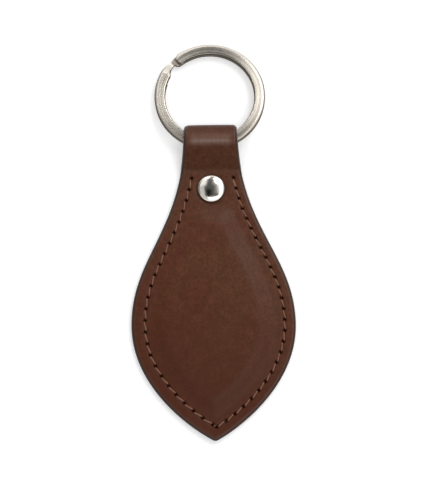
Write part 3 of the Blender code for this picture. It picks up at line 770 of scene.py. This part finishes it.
def rivet_back_cap(material):
    """Low cap on the back, a shallow shell with a round edge and its lip turned in."""
    outer = BACK_CAP_DIAMETER / 2
    low, high = RIVET_GAP, BACK_DIMPLE - RIVET_GAP
    corner = np.linspace(np.pi / 2, 0.0, ROUND_POINTS)
    outside = np.column_stack([outer - BACK_CAP_CORNER * (1 - np.cos(corner)),
                               low + BACK_CAP_CORNER * (1 - np.sin(corner))])
    crimp, wall = outer - CAP_WALL - CRIMP, outer - CAP_WALL
    rest = np.array([[outer, high], [crimp, high], [crimp, high - CAP_WALL], [wall, high - CAP_WALL],
                     [wall, low + 1.5 * CAP_WALL], [outer - 1.5 * CAP_WALL, low + CAP_WALL],
                     [0.0, low + CAP_WALL]])
    rings = np.array([[0.0, low], [outer / 3, low], [outer * 2 / 3, low]])
    back = add_piece("back_cap", turned(np.vstack([rings, outside, rest])), "fob", material)
    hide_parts("rivet_back_cap")


# Split ring

def ring_angles():
    """Angles of the wire's sections, clockwise from the front end over both coils."""
    end_length = WIRE_WIDTH / 2 / WIRE_OUTER
    rounding = 1.0 - np.cos(np.linspace(0.03, np.pi / 2, END_SECTIONS))
    nose = FRONT_END_ANGLE - end_length * rounding
    tail = BACK_END_ANGLE - 2 * FULL_TURN + end_length * rounding[::-1]
    coils = np.linspace(nose[-1], tail[0], COIL_SECTIONS)[1:-1]
    return np.concatenate([nose, coils, tail])


def wire_course(angle):
    """Level, half width, radius of the middle and distance from an end of each section.

    The distance is a share of half the wire's width, and 1 from there on.
    """
    joggle = JOGGLE_TOP_ANGLE - JOGGLE_FOOT_ANGLE
    drop = np.clip((JOGGLE_TOP_ANGLE - FULL_TURN - angle) / joggle, 0.0, 1.0)
    level = (COIL_THICKNESS + COIL_GAP) / 2 * (1.0 - 2.0 * eased(drop))
    inner_cut, outer_cut = (np.interp(angle + FULL_TURN, CUT_ANGLES, cut) for cut in (INNER_CUT, OUTER_CUT))
    from_end = np.minimum(FRONT_END_ANGLE - angle, angle - BACK_END_ANGLE + 2 * FULL_TURN) * WIRE_OUTER
    rounding = np.minimum(from_end / (WIRE_WIDTH / 2), 1.0)
    half = WIRE_WIDTH / 2 * np.sqrt(1.0 - (1.0 - rounding) ** 2) - (inner_cut + outer_cut) / 2
    middle = WIRE_OUTER - WIRE_WIDTH / 2 + (inner_cut - outer_cut) / 2
    return level, half, middle, rounding


def corner_points(out, up, level, half):
    """One corner of every section from the side to the face, counted from the section's middle.

    Out and up are 1 or -1 and say which corner it is. One that the other coil hides is smaller.
    """
    soft = np.column_stack([1 - np.cos(CORNER_TURNS), 1 - np.sin(CORNER_TURNS)])
    soft[0, 1], soft[-1, 0] = CORNER_REACH, CORNER_REACH
    shape, size = (FACET_LINE, RING_FACET) if out > 0 else (soft, np.full(2, RING_BEVEL))
    room = half[:, None, None] * 0.5
    exposed = level[:, None, None] * up >= 0
    inset = np.where(exposed, shape * np.minimum(size, room), soft * np.minimum(HIDDEN_BEVEL, room))
    return np.stack([out * (half[:, None] - inset[..., 0]),
                     up * (COIL_THICKNESS / 2 - inset[..., 1])], axis=-1)


def corner_shade_and_dullness(out, angle, rounding):
    """How much painted shade and dullness each point of such a corner has, from 0 to 1.

    They are on the nook under the front end, which it shades, on the wire's inner side, and,
    except at the top of the ring, on the outermost line of its worn corner, where the painted
    shade stands for a dark reflection.
    """
    nook = NOOK_SHADE * np.exp(-((angle + FULL_TURN - NOOK_ANGLE) / NOOK_SPREAD) ** 2)
    if out > 0:
        low = OUTER_SHADE * faded(np.sin(angle), *OUTER_SHADE_TOP)
        side = low[:, None] * faded(FACET_LINE[:, 0], *OUTER_SHADE_FADE)
    else:
        side = faded(CORNER_TURNS, *INNER_SHADE_FADE)
    return np.maximum(nook[:, None], side * rounding[:, None])


def split_ring(material):
    """Flat wire wound twice round, passing under its own front end at the joggle.

    A section is a rectangle whose corners are worn, round or nearly sharp, carried round the
    ring's axis. Its width shrinks in a half circle at both ends and to the waist in the joggle,
    where its level drops from the front coil to the back coil.
    """
    angle = ring_angles()
    level, half, middle, rounding = wire_course(angle)
    corners = []
    for out, up in ((1, 1), (-1, 1), (-1, -1), (1, -1)):
        corner = np.dstack([corner_points(out, up, level, half), corner_shade_and_dullness(out, angle, rounding)])
        corners.append(corner[:, ::out * up])
    section = np.concatenate(corners, axis=1)
    across, rise, side = section[..., 0], section[..., 1], section[..., 2]
    radius = middle[:, None] + across
    height = level[:, None] + rise
    x = radius * np.cos(angle)[:, None]
    y = AXIS_TO_RING + radius * np.sin(angle)[:, None]
    tilt_cos, tilt_sin = np.cos(-REST_TILT), np.sin(-REST_TILT)
    grid = np.stack([x, y * tilt_cos - height * tilt_sin,
                     AXIS_HEIGHT + y * tilt_sin + height * tilt_cos], axis=-1)
    along = (angle * WIRE_OUTER)[:, None] + 0.0 * radius
    # The side attribute carries the painted shade and dullness of the corners
    piece = add_piece("ring_wire", grid, "ring", material,
                      along=along, radius=radius, height=height, side=side)
    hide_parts("split_ring")


# Materials

class Value:
    """A shader socket. An expression on values adds the Math nodes that work it out."""

    def __init__(self, shading, socket):
        self.shading = shading
        self.socket = socket

    def __add__(self, other):
        return self.shading.math("ADD", self, other)

    def __sub__(self, other):
        return self.shading.math("SUBTRACT", self, other)

    def __rsub__(self, other):
        return self.shading.math("SUBTRACT", other, self)

    def __mul__(self, other):
        return self.shading.math("MULTIPLY", self, other)

    def __truediv__(self, other):
        return self.shading.math("DIVIDE", self, other)

    __radd__ = __add__
    __rmul__ = __mul__


class Shading:
    """The node tree of a material or of the world."""

    def __init__(self, owner):
        owner.use_nodes = True
        self.tree = owner.node_tree

    def feed(self, socket, value):
        """Link a value to a socket, or set the socket to a plain number or colour."""
        if isinstance(value, Value):
            self.tree.links.new(value.socket, socket)
        else:
            socket.default_value = value

    def node(self, kind, settings=None, sockets=None, output=0):
        """Add a node: its settings first, and then the values or links of its sockets."""
        node = self.tree.nodes.new(kind)
        for key, setting in (settings or {}).items():
            setattr(node, key, setting)
        for key, value in (sockets or {}).items():
            self.feed(node.inputs[key], value)
        return Value(self, node.outputs[output])

    def math(self, operation, *values):
        """Math node over two or three values."""
        return self.node("ShaderNodeMath", {"operation": operation}, dict(enumerate(values)))

    def step(self, value, low, high):
        """Smooth step from 0 at low to 1 at high."""
        return self.node("ShaderNodeMapRange", {"interpolation_type": "SMOOTHSTEP"},
                         {"Value": value, "From Min": low, "From Max": high})

    def mix(self, share, first, second):
        """Colour between two colours."""
        return self.node("ShaderNodeMix", {"data_type": "RGBA"}, {0: share, 6: first, 7: second}, 2)

    def place(self, scale=(1.0, 1.0, 1.0)):
        """Object coordinates, stretched by a scale along each axis."""
        place = self.node("ShaderNodeTexCoord", output="Object")
        return self.node("ShaderNodeMapping", None, {"Vector": place, "Scale": scale})

    def number(self, name):
        """One of the piece's own attributes."""
        return self.node("ShaderNodeAttribute", {"attribute_name": name}, output="Fac")

    def vector(self, x, y, z):
        """Vector from three values."""
        return self.node("ShaderNodeCombineXYZ", None, {0: x, 1: y, 2: z})

    def noise(self, size, detail=2.0, vector=None, roughness=0.5):
        """Noise from 0 to 1 with features of about a size."""
        return self.node("ShaderNodeTexNoise", None, {
            "Vector": vector or self.place(), "Scale": 1.0 / size, "Detail": detail, "Roughness": roughness})

    def cells(self, size, vector=None):
        """Distance to the nearest of scattered points about a size apart, 0 at each point."""
        return self.node("ShaderNodeTexVoronoi", None, {
            "Vector": vector or self.place(), "Scale": 1.0 / size}, "Distance")

    def bump(self, height, depth, normal=None):
        """Normal bent by a height from 0 to 1 that stands for a depth."""
        sockets = {"Height": height, "Distance": depth, "Strength": 1.0}
        if normal:
            sockets["Normal"] = normal
        return self.node("ShaderNodeBump", None, sockets)


def surface(name, fill, **settings):
    """Material whose Principled shader takes its sockets from fill and its plain settings."""
    material = bpy.data.materials.new(name)
    shading = Shading(material)
    shader = shading.tree.nodes["Principled BSDF"]
    for key, value in settings.items():
        shader.inputs[key.replace("_", " ")].default_value = value
    for key, value in fill(shading).items():
        shading.feed(shader.inputs[key], value)
    return material


def colour(red, green, blue):
    """Colour with full alpha."""
    return (red, green, blue, 1.0)


def leather_fill(shading):
    """Chestnut leather: mottling, grain, dark glossy rims, raw flesh, painted shade and highlight."""
    paint, flesh, bend_highlight = shading.number("paint"), shading.number("flesh"), shading.number("bend_highlight")
    hole, seam, rim = shading.number("hole"), shading.number("seam"), shading.number("rim")
    fold = shading.number("fold")
    cloud = shading.noise(15 * MM, 3.0)
    hue = shading.noise(4 * MM, 2.0)
    mottle = shading.noise(2.6 * MM, 4.0, roughness=0.6)
    speck = shading.noise(0.7 * MM, 3.0)
    fibre = shading.noise(0.45 * MM, 3.0, shading.place((1.0, 0.1, 0.1)))
    along = shading.node("ShaderNodeSeparateXYZ", None, {0: shading.place((0.35, 1.0, 1.0))}, "X")
    along += shading.node("ShaderNodeSeparateXYZ", None, {0: shading.place()}, "Y")
    tone = shading.mix(shading.step(cloud, 0.35, 0.65),
                       colour(0.094, 0.024, 0.011), colour(0.093, 0.0325, 0.0135))
    tone = shading.mix(shading.step(hue, 0.4, 0.65) * 0.5, tone, colour(0.080, 0.030, 0.010))
    tone = shading.mix(shading.step(mottle, 0.4, 0.7) * 0.5, tone, colour(0.132, 0.045, 0.021))
    tone = shading.mix(shading.step(speck, 0.4, 0.65) * 0.45, tone, colour(0.050, 0.013, 0.0055))
    tone = shading.mix(shading.step(fibre, 0.5, 0.8) * 0.3, tone, colour(0.12, 0.046, 0.026))
    # Darker toward the tip and toward the left side, away from the lights: painted shade
    tone = shading.mix(shading.step(along, 0.0, -50 * MM) * 0.7, tone, colour(0.06, 0.0115, 0.0025))
    # Lighter where the strip bends over the wire: partly the leather's own pull-up tone, partly a painted
    # highlight
    tone = shading.mix(bend_highlight * (fibre * 1.3 + cloud * 0.4 - 0.2), tone, colour(0.165, 0.082, 0.056))
    # Painted shade on the fold at the loop's far end
    tone = shading.mix(fold * 0.5, tone, colour(0.05, 0.013, 0.005))
    # Painted shade along the seam's valley and round the front cap
    tone = shading.mix(seam * 0.3, tone, colour(0.055, 0.019, 0.011))
    tone = shading.mix(paint, tone, colour(0.040, 0.0205, 0.0135))
    tone = shading.mix(flesh, tone, colour(0.2, 0.115, 0.07))
    # Painted shade down in the needle holes
    tone = shading.mix(shading.step(hole, 0.3, 0.7), tone, colour(0.032, 0.004, 0.0008))
    grain = shading.noise(0.28 * MM, 2.0)
    pores = shading.cells(0.42 * MM)
    height = grain * 0.6 + shading.step(pores, 0.0, 0.35) * 0.4
    nap = shading.noise(0.16 * MM, 4.0, roughness=0.7)
    height = height * (1 - flesh) + nap * flesh * 2.5
    height = height * (1 - paint * 0.6)
    rough = 0.34 + mottle * 0.12 + flesh * 0.4 + hole * 0.3
    return {"Base Color": tone, "Roughness": rough, "Coat Weight": rim * 0.4 + bend_highlight * bend_highlight,
            "Normal": shading.bump(height, 0.016 * MM)}


def thread_fill(shading):
    """Light brown twisted thread, painted shade in the grooves between its plies and down in the holes."""
    length, turn = shading.number("length"), shading.number("turn")
    ply = shading.math("COSINE", PLIES * (turn - length * (FULL_TURN / PLY_LAY)))
    fray = shading.noise(0.25 * MM, 3.0)
    # Painted shade in the grooves between the plies
    tone = shading.mix(shading.step(ply, -1.0, 0.6), colour(0.14, 0.06, 0.034), colour(0.34, 0.168, 0.102))
    tone = shading.mix(shading.step(fray, 0.4, 0.7) * 0.4, tone, colour(0.24, 0.105, 0.058))
    # Painted shade on the thread down in the needle holes
    tone = shading.mix(shading.step(shading.number("depth"), 0.26, 0.5), tone, colour(0.022, 0.004, 0.001))
    strand = shading.math("SINE", length * (FULL_TURN / (0.12 * MM)) + turn * 2)
    return {"Base Color": tone, "Roughness": 0.6 + fray * 0.2,
            "Normal": shading.bump(strand * 0.5 + fray, 0.012 * MM)}


def nickel_fill(shading):
    """Polished nickel plate with faint haze and hairline marks."""
    haze = shading.noise(2.2 * MM, 3.0)
    marks = shading.noise(0.5 * MM, 3.0, shading.place((1.0, 6.0, 1.0)))
    tone = shading.mix(haze, colour(0.68, 0.64, 0.58), colour(0.76, 0.73, 0.67))
    return {"Base Color": tone, "Roughness": 0.09 + haze * 0.06,
            "Normal": shading.bump(marks, 0.0008 * MM)}


def steel_fill(shading):
    """Plated steel brushed along the wire, with streaks round the ring and places darkened with
    painted shade and made duller.

    These are the inner side, the nook under the front end and the outermost line, where the
    painted shade stands for a dark reflection.
    """
    along, radius, height = shading.number("along"), shading.number("radius"), shading.number("height")
    side = shading.number("side")
    streak = shading.noise(0.45 * MM, 2.0, shading.vector(along * 0.012, radius, height))
    fine = shading.noise(0.16 * MM, 1.0, shading.vector(along * 0.01, radius, height))
    patch = shading.noise(2.5 * MM, 2.0)
    tone = shading.mix(shading.step(streak, 0.3, 0.7), colour(0.52, 0.475, 0.405), colour(0.66, 0.615, 0.55))
    # Painted shade on the inner side, in the nook under the front end and on the outermost line
    tone = shading.mix(side * 0.95, tone, colour(0.055, 0.045, 0.034))
    tone = shading.mix(shading.step(fine, 0.5, 0.8) * 0.4 * (1 - side), tone, colour(0.36, 0.32, 0.27))
    rough = 0.14 + streak * 0.1 + patch * 0.05 + side * 0.2
    return {"Base Color": tone, "Roughness": rough, "Normal": shading.bump(streak + fine * 0.3, 0.0015 * MM)}


def board_fill(shading):
    """Pressed grey board with short fibres."""
    fibre = shading.noise(0.6 * MM, 5.0, shading.place((1.0, 0.4, 1.0)))
    tone = shading.mix(fibre, colour(0.27, 0.24, 0.2), colour(0.42, 0.38, 0.32))
    return {"Base Color": tone, "Roughness": 0.85 + fibre * 0.1, "Normal": shading.bump(fibre, 0.03 * MM)}


# Studio

def box_mask(shading, x, y, low, high, soft):
    """1 inside a box of directions with soft sides, 0 outside; a direction is its slope from +Z."""
    above = [shading.step(slope, edge - soft, edge + soft) for slope, edge in zip((x, y), low)]
    beyond = [shading.step(slope, edge - soft, edge + soft) for slope, edge in zip((x, y), high)]
    return above[0] * (1 - beyond[0]) * above[1] * (1 - beyond[1])


def studio_light():
    """Soft studio: lights on the right, in front and behind, and pale cards in front and left.

    A narrow strip light stands on the right and a corner light at the back on the left. A panel
    is given by its lowest and highest slopes from +Z toward +X and +Y, the softness of its sides
    and its brightness, and covers the panels before it. Dark hoods over the object let glossy
    surfaces which face up keep their own colour. The slopes drift a little with a noise, so that
    no side of a panel is mirrored as a straight line. The camera itself sees white.
    """
    world = bpy.data.worlds.new("studio")
    bpy.context.scene.world = world
    shading = Shading(world)
    direction = shading.node("ShaderNodeTexCoord", output="Generated")
    split = shading.tree.nodes.new("ShaderNodeSeparateXYZ")
    shading.feed(split.inputs[0], direction)
    x, y, z = (Value(shading, output) for output in split.outputs)
    up = shading.math("MAXIMUM", z, 0.05)
    drift = shading.noise(0.3, 2.0, direction) - 0.5
    x, y = x / up + drift * LIGHT_DRIFT, y / up - drift * LIGHT_DRIFT
    level = WALLS
    panels = (
        ((-1.3, -1.3), (1.3, 1.5), 0.2, CEILING),
        ((-0.8, -1.7), (0.8, -0.2), 0.1, FRONT_CARD),
        ((-0.7, -0.42), (0.7, -0.22), 0.09, FRONT_LIGHT),
        ((-0.7, 0.3), (-0.16, 1.0), 0.08, LEFT_CARD),
        ((-0.7, -0.6), (-0.16, 0.3), 0.08, LOW_LEFT_CARD),
        ((-2.5, 1.15), (2.5, 30.0), 0.12, BACK_LIGHT),
        ((0.3, -0.3), (0.88, 0.6), 0.15, LOW_RIGHT_LIGHT),
        ((0.3, 0.4), (0.88, 1.1), 0.12, RIGHT_LIGHT),
        ((0.15, 0.4), (0.42, 0.79), 0.05, STRIP_LIGHT),
        ((-0.15, 0.2), (0.04, 0.85), 0.06, HOOD_TOP),
        ((-0.45, 0.72), (-0.07, 1.1), 0.06, CORNER_LIGHT),
        ((-0.25, -0.18), (0.12, 0.28), 0.06, HOOD_TOP),
        ((0.05, -0.15), (0.3, 0.0), 0.06, HOOD_TOP),
        ((-0.2, -0.17), (0.01, 0.14), 0.06, HOOD),
    )
    for low, high, soft, bright in panels:
        panel = box_mask(shading, x, y, low, high, soft)
        level = level * (1 - panel) + panel * bright
    seen = shading.node("ShaderNodeLightPath", output="Is Camera Ray")
    shading.feed(shading.tree.nodes["Background"].inputs["Strength"], level * (1 - seen) + seen)
    shading.feed(shading.tree.nodes["Background"].inputs["Color"], colour(1.0, 1.0, 1.0))


def pale_floor():
    """White floor that keeps the shadow and reaches white where no shadow falls."""
    mesh = bpy.data.meshes.new("floor")
    corners = [(-FLOOR_REACH, -FLOOR_REACH, 0), (FLOOR_REACH, -FLOOR_REACH, 0),
               (FLOOR_REACH, FLOOR_REACH, 0), (-FLOOR_REACH, FLOOR_REACH, 0)]
    mesh.from_pydata(corners, [], [(0, 1, 2, 3)])

    def fill(shading):
        path = shading.tree.nodes.new("ShaderNodeLightPath")
        seen = (Value(shading, path.outputs["Is Camera Ray"]) + Value(shading, path.outputs["Is Glossy Ray"])
                + Value(shading, path.outputs["Is Transmission Ray"]))
        shading.feed(shading.tree.nodes["Principled BSDF"].inputs["Emission Strength"], seen * FLOOR_GLOW)
        return {"Base Color": colour(FLOOR_TONE, FLOOR_TONE, FLOOR_TONE),
                "Emission Color": colour(1.0, 1.0, 1.0)}

    mesh.materials.append(surface("floor", fill, Roughness=1.0, Specular_IOR_Level=0.0))
    floor = bpy.data.objects.new("floor", mesh)
    bpy.context.scene.collection.objects.link(floor)


def photo_camera():
    """Camera at the photograph's place, fitted to the outline of the leaf and of the ring."""
    camera = bpy.data.objects.new("camera", bpy.data.cameras.new("camera"))
    camera.data.lens = CAMERA_LENS
    camera.data.sensor_width = CAMERA_SENSOR
    camera.data.clip_start = 0.01
    camera.location = CAMERA_PLACE
    camera.rotation_euler = CAMERA_TURN
    bpy.context.scene.collection.objects.link(camera)
    bpy.context.scene.camera = camera


def dress_key_ring():
    """Make every visible piece, and give the CAD pieces that stay a better material."""
    leather = surface("chestnut_leather", leather_fill, Specular_IOR_Level=0.17, Coat_Roughness=0.3)
    thread = surface("tan_thread", thread_fill, Specular_IOR_Level=0.3)
    nickel = surface("polished_nickel", nickel_fill, Metallic=1.0)
    steel = surface("brushed_steel", steel_fill, Metallic=1.0, Anisotropic=0.75,
                    Anisotropic_Rotation=0.25)
    board = surface("grey_board", board_fill)
    leather_wrap(leather)
    sewing_threads(thread)
    rivet_front_cap(nickel)
    rivet_back_cap(nickel)
    split_ring(steel)
    for node, material in (("filler_board", board), ("rivet_socket", nickel), ("rivet_post", nickel)):
        frame["nodes"][node].data.materials.clear()
        frame["nodes"][node].data.materials.append(material)


bpy.context.scene.view_settings.view_transform = "Standard"
dress_key_ring()
studio_light()
pale_floor()
photo_camera()
